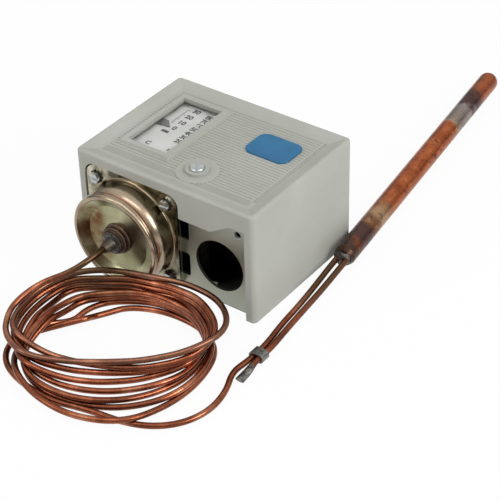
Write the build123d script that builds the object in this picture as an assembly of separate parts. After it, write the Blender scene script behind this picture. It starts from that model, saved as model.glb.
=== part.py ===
from build123d import *
import os
from math import atan2, cos, degrees, hypot, pi, radians, sin, sqrt, tan

os.makedirs("parts", exist_ok=True)

# A capillary thermostat lying on its back. Origin: centre of the back on the mounting surface.
# +Z leaves the wall through the cover face, -Y is the side that the capillary leaves, all in mm.
# The cover, 84.5 x 65.7 x 49, is as large as the power element and the switch that it holds.

# Cover, outside
cover_wall = 1.8
corner_round = 2.0
edge_round = 1.2
rim_width = 1.4
dish_margin = 5.8
dish_depth = 1.4
roof = 1.6

# Cover face: ribs, window, screw pad and badge
rib_pitch = 1.64
groove_width = 0.7
groove_depth = 0.35
rib_margin = 1.7
border_lines = 3
border_pitch = 0.95
window_from_left = 21.5
window_from_front = 35.25
window_opening = (18.8, 36.0)
window_frame_band = 2.1
window_frame_height = 1.2
window_frame_slope = 0.7
pane_sheet = 0.8
pane_seat = 1.0
pad_radius = 8.5
pad_rise = 0.15
boss_ring_radius = 4.7
boss_ring_height = 1.3
badge_from_right = 21.65
badge_from_rear = 21.85
badge_size = (20.0, 15.0)
badge_sheet = 0.8
badge_corner = 4.0

# Cover front opening, its gaps to the power element and heights over the back
notch_clear = 0.4
notch_side_clear = 0.6
notch_step_clear = 1.1
notch_band = 4.4
notch_round = 5.0
skirt_drop = 9.4
skirt_from_right = 20.0
slope_run = 9.0
slope_rise = 5.6
corner_lip = 4.2

# Case, folded sheet steel
steel = 1.2
case_gap = 1.4
case_side_gap = 0.4
case_top_gap = 3.4
bend_radius = 1.6
head_room = 5.0
conduit_radius = 11.1
conduit_from_right = 18.5
conduit_height = 18.0
tapped_radius = 1.6
tapped_from_right = 9.6
tapped_from_top = 6.8
slot_width = 7.8
slot_from_conduit = 18.1
slot_spans = ((7.2, 17.5), (24.0, 33.0))
slot_round = 1.0
mount_hole_radius = 2.2
mount_hole_spacing = 44.0
mount_holes_from_left = 34.25
mount_holes_from_front = 10.85

# Power element
flange_from_left = 4.5
flange_foot = 0.2
flange_corner = 5.0
flange_sheet = 1.1
flange_screw_inset = 5.0
head_plate = 1.6
head_plate_inset = 0.6
cup_radius = 20.3
cup_sheet = 0.9
cup_root = 0.95
cup_wall_end = 5.7
groove_ahead = 8.8
bead_ahead = 10.9
rim_ahead = 12.5
rim_band = 2.5
rim_inner_ahead = 11.9
face_slope_run = 3.8
face_ahead = 9.5
bellows_from_cup = 6.3
bellows_fold_depth = 3.5
bellows_folds = 5
bellows_sheet = 0.5
rod_radius = 2.0
rod_clear = 0.06
rod_chamfer = 0.8
foot_radius = 7.0
foot_sheet = 1.2
guide_radius = 3.8
guide_reach = 4.6
boss_steps = ((6.0, 1.5), (5.0, 2.0), (4.2, 1.0))
boss_cone = 4.5
flange_screw_radius = 1.6
flange_head_radius = 2.3
flange_head_height = 1.6
flange_washer_radius = 2.8
flange_washer_sheet = 0.5
washer_teeth = 10

# Lever, its stud, and the two adjusting screws
lever_sheet = 1.5
lever_width = 12.0
lever_from_case = 16.1
pivot_from_left = 8.0
pivot_radius = 1.5
pivot_clear = 0.05
knuckle_radius = 3.2
stud_collar = 2.6
clip_radius = 3.0
clip_sheet = 0.6
lever_over_base = 3.5
finger_width = 4.0
neck_length = 14.0
range_screw_radius = 2.5
range_head_radius = 4.4
nut_rest = 16.3
nut_sheet = 1.5
nut_plate = (14.0, 12.0)
spring_radius = 4.8
spring_wire = 1.2
spring_turns = 6
spring_sides = 12
diff_from_power = 15.5
diff_screw_radius = 2.0
diff_head_radius = 3.4
diff_nut_rest = 13.0
diff_nut_plate = 10.0
diff_nut_foot = 6.0
diff_spring_radius = 3.4
diff_spring_wire = 0.8
diff_spring_turns = 6
diff_spring_lift = 0.7
screw_head_height = 3.0
screw_tip_gap = 3.0
thread_clear = 0.06
run_gap = 0.3
slot_cut = 1.0

# Dial
bridge_sheet = 1.0
bridge_width = 21.6
bridge_shift = 0.1
bridge_tab = 7.0
bridge_tab_inset = 2.2
dial_sheet = 0.5
dial_under_roof = 1.0
pointer_sheet = 0.5
pointer_clear = 0.15
pointer_arm = (7.8, 10.4)
pointer_arm_height = 6.0
pointer_tip = 17.8
pointer_width = 4.1
pointer_slope = (3.2, 3.4)
pointer_notch = 4.8

# Switch
base_depth = 27.0
base_height = 12.8
base_gap = 2.0
base_to_right = 5.0
base_from_front = 27.0
base_to_wall = 3.7
terminal_sheet = 1.0
terminal_width = 6.0
terminal_rise = 12.0
terminal_first = 7.5
terminal_pitches = (8.0, 10.0)
terminal_from_end = 3.5
terminal_screw_radius = 1.6
terminal_head_radius = 2.8
terminal_head_height = 2.0
terminal_screw_reach = 7.0
blade_sheet = 0.4
blade_width = 8.0
blade_inset = 1.0
blade_window_insets = (12.0, 6.0, 3.0)
blade_from_front = 30.7
contact_radius = 1.8
contact_height = 0.8
open_gap = 0.95
closed_gap = 0.3
anchor_gap = 0.35
blade_roll_radius = 0.45
blade_pivot_from_end = 3.0

# Cover post and screws
post_flats = 6.5
post_from_power = 21.1
post_from_front = 15.4
cover_screw_radius = 2.0
cover_head_radius = 3.0
cover_head_height = 0.9
cover_screw_reach = 8.0
cover_slot_turn = -57.0
ground_place = (52.5, 8.5)
ground_head_flats = 6.0
ground_head_height = 2.6

# Capillary, clip, charging tube and bulb
tube = 2.4
bulb_radius = 4.4
bulb_near_from_corner = (7.15, 49.05)
bulb_far_from_corner = (-13.15, 202.65)
entry_offset = 1.9
entry_run = 9.0
clip_centre = (55.2, -48.25)
clip_length = 4.4
clip_wall = 0.5
clip_clear = 0.12
pinch_length = 10.5
pinch_width = 3.8
pinch_shift = 0.9
pinch_thickness = 1.5
coil_centre = (4.35, -76.6)
coil_outer = (41.0, 39.2)
coil_inner = (22.5, 20.5)
coil_front_height = 5.0
coil_back_height = 15.2
coil_can_gap = 0.5

# Sizes that follow: flange from cup, cover from what it holds
screw_square = round(sqrt(2) * (cup_radius + cup_root + flange_washer_radius), 1)
flange_side = screw_square + 2 * flange_screw_inset
power_from_left = flange_from_left + flange_side / 2
power_height = flange_foot + flange_side / 2
notch_top = power_height + flange_side / 2 + notch_clear
skirt_height = notch_top - skirt_drop
terminal_second = terminal_first + terminal_pitches[0]
terminal_places = (terminal_first, terminal_second, terminal_second + terminal_pitches[1])
base_size = (terminal_places[2] + terminal_from_end, base_depth, base_height)
base_from_left = power_from_left + flange_side / 2 + base_gap
width = base_from_left + base_size[0] + base_to_right
depth = base_from_front + base_size[1] + base_to_wall + steel + head_room + cover_wall
height = notch_top + notch_band
rim_inner_radius = cup_radius - rim_band
face_radius = rim_inner_radius - face_slope_run
bellows_radius = cup_radius - bellows_from_cup
bellows_root = bellows_radius - bellows_fold_depth

# Places that follow
left = -width / 2
right = width / 2
front = -depth / 2
rear = depth / 2
field = height - dish_depth
ceiling = field - roof
case_wall_height = ceiling - case_top_gap
tapped_height = case_wall_height - tapped_from_top
window_centre = (left + window_from_left, front + window_from_front)
badge_centre = (right - badge_from_right, rear - badge_from_rear)
case_face = front + cover_wall + case_gap
case_inner = case_face + steel
case_back = rear - cover_wall - head_room
case_back_inner = case_back - steel
case_half = width / 2 - cover_wall - case_side_gap
power_x = left + power_from_left
flange_back = case_face - head_plate
flange_face = flange_back - flange_sheet
cup_face = flange_face - face_ahead
boss_tip = cup_face - sum(step[1] for step in boss_steps) - boss_cone
lever_front = case_inner + lever_from_case
lever_back = lever_front + lever_sheet
pivot_x = left + pivot_from_left
pivot_y = (lever_front + lever_back) / 2
base_left = left + base_from_left
lever_end = base_left + lever_over_base
diff_x = power_x + diff_from_power
lever_low = power_height - lever_width / 2
lever_high = power_height + lever_width / 2
dial_top = ceiling - dial_under_roof
bridge_x0 = window_centre[0] + bridge_shift - bridge_width / 2
bridge_x1 = bridge_x0 + bridge_width
post_x = power_x + post_from_power
post_y = front + post_from_front
base_front = front + base_from_front
base_top = steel + base_size[2]
blade_front = front + blade_from_front
blade_back = blade_front + blade_sheet
bulb_near = (right + bulb_near_from_corner[0], front + bulb_near_from_corner[1])
bulb_far = (right + bulb_far_from_corner[0], front + bulb_far_from_corner[1])
tube_radius = tube / 2


def write(node, shape):
    export_step(shape, f"parts/{node}.step")


def block(x0, x1, y0, y1, z0, z1):
    return Pos((x0 + x1) / 2, (y0 + y1) / 2, (z0 + z1) / 2) * Box(x1 - x0, y1 - y0, z1 - z0)


def rod_y(x, z, radius, y0, y1):
    return Pos(x, (y0 + y1) / 2, z) * Rot(90, 0, 0) * Cylinder(radius, y1 - y0)


def rod_z(x, y, radius, z0, z1):
    return Pos(x, y, (z0 + z1) / 2) * Cylinder(radius, z1 - z0)


def turned(outline, x, z):
    """Turn an outline of (radius, y) about the line along Y through x, z."""
    return Pos(x, 0, z) * revolve(make_face(outline), Axis.Y)


def plate_y(outline, y0, y1):
    """Extrude a face drawn in x and z from y0 to y1."""
    return extrude(Plane((0, y1, 0), x_dir=(1, 0, 0), z_dir=(0, -1, 0)) * outline, y1 - y0)


def screw_slot_y(x, z, radius, y_head, depth_cut, way):
    inner = y_head + way * depth_cut
    low, high = sorted((y_head - way * depth_cut, inner))
    return block(x - radius - 1, x + radius + 1, low, high, z - slot_cut / 2, z + slot_cut / 2)


def cover_face_keep_out():
    """Areas of the ribbed field that stay smooth."""
    frame_x = window_opening[0] / 2 + window_frame_band + window_frame_slope + rib_margin / 3
    frame_y = window_opening[1] / 2 + window_frame_band + window_frame_slope + rib_margin / 3
    window = Pos(*window_centre) * Rectangle(2 * frame_x, 2 * frame_y)
    pad = Pos(post_x, post_y) * Circle(pad_radius)
    badge = Pos(*badge_centre) * RectangleRounded(*badge_size, badge_corner)
    return extrude(Pos(0, 0, field - 1) * (window + pad + badge), 2)


def v_groove(length):
    half = groove_width / 2
    section = make_face(Polyline((-half, 0), (half, 0), (0, -groove_depth), close=True))
    return extrude(Plane.YZ * section, length)


def cover_ribs():
    """V grooves along X over the field, and lines that follow its front and right edges."""
    x0 = left + dish_margin + rib_margin
    x1 = right - dish_margin - rib_margin
    y0 = front + dish_margin + rib_margin + border_lines * border_pitch
    y1 = rear - dish_margin - rib_margin
    keep_out = cover_face_keep_out()
    grooves = []
    count = int((y1 - y0) / rib_pitch) + 1
    for i in range(count):
        groove = Pos(x0, y0 + i * rib_pitch, field) * v_groove(x1 - border_pitch - x0)
        grooves += (groove - keep_out).solids()
    for i in range(border_lines):
        grooves.append(Pos(x0, y0 - (i + 1) * border_pitch, field) * v_groove(x1 - x0))
    for i in range(2):
        line = Rot(0, 0, 90) * v_groove(y1 - y0)
        grooves.append(Pos(x1 + i * border_pitch, y0, field) * line)
    return grooves


def cover_notch():
    """The front opening, drawn in x and z."""
    x_left = power_x - flange_side / 2 - notch_side_clear
    x_step = power_x + flange_side / 2 + notch_step_clear
    x_flat = right - skirt_from_right
    x_slope = x_flat + slope_run
    x_lip = right - corner_lip
    outline = Polyline(
        (x_left, -1),
        (x_left, notch_top),
        (x_step, notch_top),
        (x_step, skirt_height),
        (x_flat, skirt_height),
        (x_slope, skirt_height + slope_rise),
        (x_lip, skirt_height + slope_rise),
        (x_lip, -1),
        close=True,
    )
    face = make_face(outline)
    top = [v for v in face.vertices() if abs(v.Y - notch_top) < 0.01]
    return fillet(top, notch_round)


def window_raise():
    """The frame round the window, with sloped outer sides."""
    outer_x = window_opening[0] + 2 * window_frame_band
    outer_y = window_opening[1] + 2 * window_frame_band
    foot = Rectangle(outer_x + 2 * window_frame_slope, outer_y + 2 * window_frame_slope)
    head = Rectangle(outer_x, outer_y)
    place = Pos(*window_centre, 0)
    low, high = field - 0.2, field + window_frame_height
    return loft([place * Pos(0, 0, low) * foot, place * Pos(0, 0, high) * head])


def cover():
    body = block(left, right, front, rear, 0, height)
    body = fillet(body.edges().filter_by(Axis.Z), corner_round)
    body = fillet(body.faces().sort_by(Axis.Z)[-1].edges(), edge_round)
    rim = Pos(0, 0, height) * Rectangle(width - 2 * rim_width, depth - 2 * rim_width)
    floor = Pos(0, 0, field) * Rectangle(width - 2 * dish_margin, depth - 2 * dish_margin)
    body -= loft([floor, rim])
    x0, x1 = left + cover_wall, right - cover_wall
    y0, y1 = front + cover_wall, rear - cover_wall
    hollow = block(x0, x1, y0, y1, -1, ceiling)
    body -= fillet(hollow.edges().filter_by(Axis.Z), corner_round - 0.8)
    body -= plate_y(cover_notch(), front - 1, y0 + 0.2)
    body += window_raise()
    body -= cover_ribs()
    body += rod_z(post_x, post_y, pad_radius, field - 0.3, field + pad_rise)
    body += rod_z(post_x, post_y, boss_ring_radius, field - 0.3, field + boss_ring_height)
    place = Pos(*window_centre, 0)
    opening = Rectangle(*window_opening)
    body -= extrude(place * Pos(0, 0, ceiling - 1) * opening, height)
    seat = Rectangle(window_opening[0] + 2 * pane_seat, window_opening[1] + 2 * pane_seat)
    body -= extrude(place * Pos(0, 0, ceiling - 1) * seat, 1 + pane_sheet + 0.05)
    body -= rod_z(post_x, post_y, cover_screw_radius + 0.3, ceiling - 1, height + 2)
    return body


def window_pane():
    inset = 2 * (pane_seat - 0.1)
    pane = Rectangle(window_opening[0] + inset, window_opening[1] + inset)
    return extrude(Pos(*window_centre, ceiling) * pane, pane_sheet)


def badge():
    plate = extrude(Pos(*badge_centre, field) * RectangleRounded(*badge_size, badge_corner), badge_sheet)
    return chamfer(plate.faces().sort_by(Axis.Z)[-1].edges(), 0.25)


def cover_screw():
    """Slotted screw through the ring boss into the post."""
    seat = field + boss_ring_height
    head = rod_z(post_x, post_y, cover_head_radius, seat, seat + cover_head_height)
    head = chamfer(head.faces().sort_by(Axis.Z)[-1].edges(), 0.35)
    screw = head + rod_z(post_x, post_y, cover_screw_radius, ceiling - cover_screw_reach, seat)
    top = seat + cover_head_height
    slot = block(-5, 5, -slot_cut / 2, slot_cut / 2, -0.5, 1)
    return screw - Pos(post_x, post_y, top) * Rot(0, 0, cover_slot_turn) * slot


def cover_post():
    """Hexagon post on the back plate, tapped for the cover screw."""
    hexagon = RegularPolygon(post_flats / 2, 6, major_radius=False)
    post = extrude(Pos(post_x, post_y, steel) * hexagon, ceiling - steel)
    bore = cover_screw_radius + thread_clear
    return post - rod_z(post_x, post_y, bore, ceiling - cover_screw_reach - 1.5, ceiling + 1)


def case():
    """Folded steel: back plate with a front and a rear wall."""
    outer = Rectangle(case_back - case_face, case_wall_height)
    outer = Pos((case_back + case_face) / 2, case_wall_height / 2) * outer
    low = [v for v in outer.vertices() if v.Y < 0.01]
    outer = fillet(low, bend_radius)
    inner = Rectangle(case_back - case_face - 2 * steel, case_wall_height)
    inner = Pos((case_back + case_face) / 2, case_wall_height / 2 + steel) * inner
    low = [v for v in inner.vertices() if v.Y < steel + 0.01]
    inner = fillet(low, bend_radius - steel)
    body = extrude(Plane.YZ.offset(-case_half) * (outer - inner), 2 * case_half)
    y0, y1 = case_face - 1, case_inner + 1
    body -= rod_y(right - conduit_from_right, conduit_height, conduit_radius, y0, y1)
    body -= rod_y(right - tapped_from_right, tapped_height, tapped_radius, y0, y1)
    for low_z, high_z in slot_spans:
        slot = RectangleRounded(slot_width, high_z - low_z, slot_round)
        slot = Pos(right - conduit_from_right - slot_from_conduit, (low_z + high_z) / 2) * slot
        body -= plate_y(slot, y0, y1)
    body -= rod_y(power_x, power_height, guide_radius + 0.2, y0, y1)
    for x, z in flange_screw_places():
        body -= rod_y(x, z, flange_screw_radius + thread_clear, y0, y1)
    for side in (-1, 1):
        x = left + mount_holes_from_left + side * mount_hole_spacing / 2
        body -= rod_z(x, front + mount_holes_from_front, mount_hole_radius, -1, steel + 1)
    for x, radius in ((power_x, range_screw_radius), (diff_x, diff_screw_radius)):
        body -= rod_y(x, power_height, radius + thread_clear, case_back_inner - 1, case_back + 1)
    ground_bore = terminal_screw_radius + thread_clear
    body -= rod_z(left + ground_place[0], front + ground_place[1], ground_bore, -1, steel + 1)
    return body


def flange_screw_places():
    half = screw_square / 2
    return [(power_x + i * half, power_height + j * half) for i in (-1, 1) for j in (-1, 1)]


def flange_outline(inset=0.0):
    side = flange_side - 2 * inset
    return Pos(power_x, power_height) * RectangleRounded(side, side, flange_corner - inset)


def cup_outline():
    """Half section of the drawn cup, as radius and y."""
    inner = cup_radius - cup_sheet
    groove_radius = cup_radius - 1.4
    face = flange_face
    back_of_face = face - face_ahead + cup_sheet
    lines = Polyline(
        (cup_radius + cup_root, flange_back),
        (inner, flange_back),
        (inner, face - cup_wall_end + 0.6),
        (rim_inner_radius - 0.8, back_of_face),
        (0, back_of_face),
        (0, face - face_ahead),
        (face_radius, face - face_ahead),
        (rim_inner_radius, face - rim_inner_ahead),
    )
    rim = ThreePointArc(
        (rim_inner_radius, face - rim_inner_ahead),
        (rim_inner_radius + 0.9, face - rim_ahead),
        (cup_radius - 0.3, face - bead_ahead),
    )
    bead = ThreePointArc(
        (cup_radius - 0.3, face - bead_ahead),
        (cup_radius - 0.4, face - groove_ahead - 0.8),
        (groove_radius, face - groove_ahead),
    )
    shoulder = ThreePointArc(
        (groove_radius, face - groove_ahead),
        (cup_radius - 0.4, face - cup_wall_end - 1.7),
        (cup_radius, face - cup_wall_end),
    )
    wall = Line((cup_radius, face - cup_wall_end), (cup_radius, face - cup_root))
    bend = cup_root * (1 - cos(radians(45)))
    root = ThreePointArc(
        (cup_radius, face - cup_root),
        (cup_radius + bend, face - bend),
        (cup_radius + cup_root, face),
    )
    edge = Line((cup_radius + cup_root, face), (cup_radius + cup_root, flange_back))
    return lines + rim + bead + shoulder + wall + root + edge


def capsule_cup():
    """Drawn cup with a rolled rim and a square flange, one piece."""
    cup = turned(cup_outline(), power_x, power_height)
    flange = plate_y(flange_outline(), flange_face, flange_back)
    flange -= rod_y(power_x, power_height, cup_radius - 0.2, flange_face - 1, flange_back + 1)
    for x, z in flange_screw_places():
        flange -= rod_y(x, z, flange_screw_radius + run_gap, flange_face - 1, flange_back + 1)
    return cup + flange


def bellows_head():
    """Plate that closes the cup, with the guide for the rod."""
    plate = plate_y(flange_outline(head_plate_inset), flange_back, case_face)
    for x, z in flange_screw_places():
        plate -= rod_y(x, z, flange_screw_radius + run_gap, flange_back - 1, case_face + 1)
    plate += rod_y(power_x, power_height, guide_radius, case_face - 0.1, case_face + guide_reach)
    bore = rod_radius + rod_clear
    return plate - rod_y(power_x, power_height, bore, flange_back - 1, case_inner + guide_reach)


def bellows():
    """Closed end forward, open end on the head plate."""
    end = flange_face - face_ahead + cup_sheet + 1.0
    steps = 2 * bellows_folds
    pitch = (flange_back - end - bellows_sheet) / steps
    outer = []
    for i in range(steps + 1):
        radius = bellows_root if i % 2 == 0 else bellows_radius
        outer.append((radius, flange_back - i * pitch))
    inner = [(radius - bellows_sheet, y) for radius, y in reversed(outer)]
    tip = [(bellows_root, end), (0, end), (0, end + bellows_sheet)]
    outline = Polyline(*outer, *tip, *inner, close=True)
    return turned(outline, power_x, power_height)


def push_rod():
    """Rod with a foot inside the bellows and a chamfered end at the lever."""
    start = flange_face - face_ahead + cup_sheet + 1.0 + bellows_sheet + 0.1
    end = lever_front - 0.1
    outline = Polyline(
        (0, start),
        (foot_radius, start),
        (foot_radius, start + foot_sheet),
        (rod_radius, start + foot_sheet),
        (rod_radius, end - rod_chamfer),
        (rod_radius - rod_chamfer, end),
        (0, end),
        close=True,
    )
    return turned(outline, power_x, power_height)


def capillary_boss():
    """Stepped brazed boss that ends in a solder cone on the tube."""
    points = [(0, cup_face)]
    y = cup_face
    for radius, length in boss_steps:
        points += [(radius, y), (radius, y - length)]
        y -= length
    points += [(boss_steps[-1][0] - 1.4, y), (tube_radius + 0.5, boss_tip), (0, boss_tip)]
    return turned(Polyline(*points, close=True), power_x, power_height)


def flange_screw(x, z):
    """Slotted hexagon screw, its head against the washer."""
    seat = flange_face - flange_washer_sheet
    head = plate_y(Pos(x, z) * RegularPolygon(flange_head_radius, 6), seat - flange_head_height, seat)
    shank = rod_y(x, z, flange_screw_radius, seat, case_inner + 2.5)
    return head + shank - screw_slot_y(x, z, flange_head_radius, seat - flange_head_height, 0.8, 1)


def lock_washer(x, z):
    """Washer with outside teeth."""
    ring = Circle(flange_washer_radius - 0.6)
    tooth = Rectangle(1.2, 0.7)
    for i in range(washer_teeth):
        ring += Rot(0, 0, i * 360 / washer_teeth) * Pos(flange_washer_radius - 0.6, 0) * tooth
    ring -= Circle(flange_screw_radius + 0.1)
    return plate_y(Pos(x, z) * ring, flange_face - flange_washer_sheet, flange_face)


def main_lever():
    """Flat lever with a rolled knuckle at the stud and a finger that reaches the switch blade."""
    arm = block(pivot_x, lever_end, lever_front, lever_back, lever_low, lever_high)
    arm += rod_z(pivot_x, pivot_y, knuckle_radius, lever_low, lever_high)
    arm -= rod_z(pivot_x, pivot_y, pivot_radius + pivot_clear, lever_low - 1, lever_high + 1)
    low, high = power_height - finger_width / 2, power_height + finger_width / 2
    finger_tip = blade_front - run_gap
    arm += block(lever_end - lever_sheet, lever_end, lever_back - 0.1, finger_tip, low, high)
    neck = lever_end - neck_length
    for z0, z1 in ((lever_low - 1, low), (high, lever_high + 1)):
        arm -= block(neck, lever_end + 1, lever_front - 1, lever_back + 1, z0, z1)
    return arm


def lever_stud():
    """Stepped stud on the back plate that carries the lever."""
    groove = lever_high + 0.4
    stud = rod_z(pivot_x, pivot_y, stud_collar, steel, lever_low - 0.2)
    stud += rod_z(pivot_x, pivot_y, pivot_radius, lever_low - 0.3, groove + clip_sheet + 1.2)
    ring = rod_z(pivot_x, pivot_y, pivot_radius + 1, groove, groove + clip_sheet)
    return stud - (ring - rod_z(pivot_x, pivot_y, pivot_radius - 0.3, groove, groove + clip_sheet))


def lever_clip():
    """Open ring snapped into the stud's groove."""
    z = lever_high + 0.4
    ring = Circle(clip_radius) - Circle(pivot_radius - 0.25)
    ring -= Pos(-clip_radius, 0) * Rectangle(2 * clip_radius, 2.2)
    return extrude(Pos(pivot_x, pivot_y, z) * ring, clip_sheet)


def spring(x, y0, y1, radius, wire, turns):
    """Compression spring along Y between two seats, its wire in short straight pieces."""
    length = y1 - y0 - wire
    count = turns * spring_sides
    points = []
    for i in range(count + 1):
        angle = 2 * pi * i / spring_sides
        y = y0 + wire / 2 + length * i / count
        points.append((x + radius * cos(angle), y, power_height + radius * sin(angle)))
    path = Polyline(*points)
    section = Plane(path @ 0, z_dir=path % 0) * RegularPolygon(wire / 2, 6)
    return sweep(section, path=path, transition=Transition.RIGHT)


def range_spring():
    seats = (lever_back + run_gap, lever_back + nut_rest - run_gap)
    return spring(power_x, *seats, spring_radius, spring_wire, spring_turns)


def differential_spring():
    seats = (lever_back + diff_spring_lift, lever_back + diff_nut_rest - run_gap)
    return spring(diff_x, *seats, diff_spring_radius, diff_spring_wire, diff_spring_turns)


def adjusting_screw(x, radius, head_radius):
    """Screw held in the rear wall between its head and a collar, its tip near the lever."""
    shank = rod_y(x, power_height, radius, lever_back + screw_tip_gap, case_back + run_gap)
    collar = rod_y(x, power_height, head_radius, case_back_inner - run_gap - 1.4, case_back_inner - run_gap)
    outer = case_back + run_gap + screw_head_height
    head = rod_y(x, power_height, head_radius, case_back + run_gap, outer)
    return shank + collar + head - screw_slot_y(x, power_height, head_radius, outer, 1.2, -1)


def range_pointer():
    """Nut plate of the range spring, its arm, and the pointer over the dial."""
    y0 = lever_back + nut_rest
    y1 = y0 + nut_sheet
    z_top = dial_top + pointer_clear
    half_x, half_z = nut_plate[0] / 2, nut_plate[1] / 2
    low, high = power_height - half_z, power_height + half_z
    plate = block(power_x - half_x, power_x + half_x, y0, y1, low, high)
    x0, x1 = left + pointer_arm[0], left + pointer_arm[1]
    low, high = power_height - pointer_arm_height / 2, power_height + pointer_arm_height / 2
    plate += block(x0, power_x - half_x + 0.1, y0, y1, low, high)
    plate += block(x0, x1, y0, y1, low, z_top + pointer_sheet)
    tip = left + pointer_tip
    back = y1 - pointer_width
    blade = Polyline(
        (x0, y1),
        (tip - pointer_slope[0], y1),
        (tip, y1 - pointer_slope[1]),
        (tip - pointer_notch, back),
        (x0, back),
        close=True,
    )
    plate += extrude(Pos(0, 0, z_top) * make_face(blade), pointer_sheet)
    return plate - rod_y(power_x, power_height, range_screw_radius + thread_clear, y0 - 1, y1 + 1)


def differential_nut():
    """Small nut plate, kept from turning by its foot over the back plate."""
    y0 = lever_back + diff_nut_rest
    y1 = y0 + nut_sheet
    half, foot = diff_nut_plate / 2, diff_nut_foot / 2
    plate = block(diff_x - half, diff_x + half, y0, y1, power_height - half, power_height + half)
    plate += block(diff_x - foot, diff_x + foot, y0, y1, steel + run_gap, power_height - half + 0.1)
    return plate - rod_y(diff_x, power_height, diff_screw_radius + thread_clear, y0 - 1, y1 + 1)


def dial_bridge():
    """Strip from wall to wall under the window, its ends turned down on the walls."""
    top = dial_top - dial_sheet
    strip = block(bridge_x0, bridge_x1, case_inner, case_back_inner, top - bridge_sheet, top)
    tab_x0 = bridge_x0 + bridge_tab_inset
    for y0, y1 in ((case_inner, case_inner + steel), (case_back_inner - steel, case_back_inner)):
        strip += block(tab_x0, bridge_x1, y0, y1, top - bridge_tab, top)
    return strip


def dial_scale():
    margin = 2.0
    half = window_opening[1] / 2 + margin
    y = window_centre[1]
    return block(bridge_x0, bridge_x1, y - half, y + half, dial_top - dial_sheet, dial_top)


def switch_base():
    """Moulded base with barriers between the terminals."""
    rear_y = base_front + base_size[1]
    base = block(base_left, base_left + base_size[0], base_front, rear_y, steel, base_top)
    for one, other in zip(terminal_places, terminal_places[1:]):
        x = base_left + (one + other) / 2
        base += block(x - 0.6, x + 0.6, blade_back + 6, rear_y, base_top - 0.1, base_top + 5)
    bore = terminal_screw_radius + thread_clear
    bore_low = base_top + terminal_sheet - terminal_screw_reach - 2
    for x in terminal_places:
        base -= rod_z(base_left + x, terminal_screw_y(), bore, bore_low, base_top + 1)
    return base


def terminal_screw_y():
    return base_front + base_size[1] - 8.0


def terminal(x, plate_y0, plate_y1, contact_y, way):
    """Angle strip: a foot under the terminal screw and an upright at the blade."""
    x += base_left
    x0, x1 = x - terminal_width / 2, x + terminal_width / 2
    foot_end = terminal_screw_y() + 4.5
    strip = block(x0, x1, plate_y0, foot_end, base_top, base_top + terminal_sheet)
    strip += block(x0, x1, plate_y0, plate_y1, base_top, base_top + terminal_rise)
    if way:
        y0, y1 = sorted((contact_y, contact_y + way * contact_height))
        strip += rod_y(x, power_height, contact_radius, y0, y1)
    return strip - rod_z(x, terminal_screw_y(), terminal_screw_radius + 0.2, base_top - 1, base_top + 2)


def open_terminal():
    y0 = blade_back + open_gap + contact_height
    return terminal(terminal_places[0], y0, y0 + terminal_sheet, y0, -1)


def closed_terminal():
    y1 = blade_front - closed_gap - contact_height
    return terminal(terminal_places[1], y1 - terminal_sheet, y1, y1, 1)


def common_terminal():
    y0 = blade_back + anchor_gap
    return terminal(terminal_places[2], y0, y0 + terminal_sheet, y0, 0)


def contact_blade():
    """Spring blade of the switch, from the common terminal to the lever's finger."""
    x0, x1 = base_left + blade_inset, base_left + terminal_places[2] + terminal_width / 2
    low, high = power_height - blade_width / 2, power_height + blade_width / 2
    blade = block(x0, x1, blade_front, blade_back, low, high)
    start, end, side = blade_window_insets
    sheet = blade_front - 1, blade_back + 1
    blade -= block(x0 + start, x1 - end, *sheet, low + side, high - side)
    roll_x = base_left + base_size[0] - blade_pivot_from_end
    roll_y = (blade_front + blade_back) / 2
    return blade + rod_z(roll_x, roll_y, blade_roll_radius, low, high)


def pan_head(x, y, seat, radius, head_radius, head_height, reach):
    head = rod_z(x, y, head_radius, seat, seat + head_height)
    head = chamfer(head.faces().sort_by(Axis.Z)[-1].edges(), 0.45)
    screw = head + rod_z(x, y, radius, seat - reach, seat)
    slot = block(x - head_radius - 1, x + head_radius + 1, y - slot_cut / 2, y + slot_cut / 2, 0, 1)
    return screw - Pos(0, 0, seat + head_height - 0.8) * slot


def terminal_screws():
    seat = base_top + terminal_sheet
    head = (terminal_head_radius, terminal_head_height)
    y, reach = terminal_screw_y(), terminal_screw_reach
    return [pan_head(base_left + x, y, seat, terminal_screw_radius, *head, reach) for x in terminal_places]


def ground_screw():
    x, y = left + ground_place[0], front + ground_place[1]
    hexagon = RegularPolygon(ground_head_flats / 2, 6, major_radius=False)
    head = extrude(Pos(x, y, steel) * hexagon, ground_head_height)
    screw = head + rod_z(x, y, terminal_screw_radius, 0, steel)
    slot = block(x - 4, x + 4, y - slot_cut / 2, y + slot_cut / 2, 0, 1)
    return screw - Pos(0, 0, steel + ground_head_height - 0.8) * slot


def tube_path(points, name):
    """Straight runs joined by arcs as large as the runs allow."""
    nodes = [Vector(*p) for p in points]
    radii = []
    for before, here, after in zip(nodes, nodes[1:], nodes[2:]):
        first, second = here - before, after - here
        turn = radians(first.get_angle(second))
        radii.append(0.45 * min(first.length, second.length) / tan(turn / 2))
    print(name, "arc radii", [round(r, 1) for r in radii])
    return FilletPolyline(*nodes, radius=radii)


def tube_along(points, name):
    path = tube_path(points, name)
    section = Plane(path @ 0, z_dir=path % 0) * Circle(tube_radius)
    solid = sweep(section, path=path)
    ratio = solid.volume / (path.length * pi * tube_radius**2)
    print(name, "length", round(path.length, 1), "volume over section x length", round(ratio, 4))
    return solid, path


def lead_points():
    """From the boss down to the left side of the coil."""
    start = Vector(power_x, boss_tip, power_height)
    steps = (
        (0, 0, 0),
        (0, -7.5, 0),
        (-4.4, -15.0, -3.6),
        (-11.4, -20.2, -8.4),
        (-17.6, -26.2, -11.8),
        (-19.4, -34.8, -14.2),
    )
    return [start + Vector(*step) for step in steps]


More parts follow.
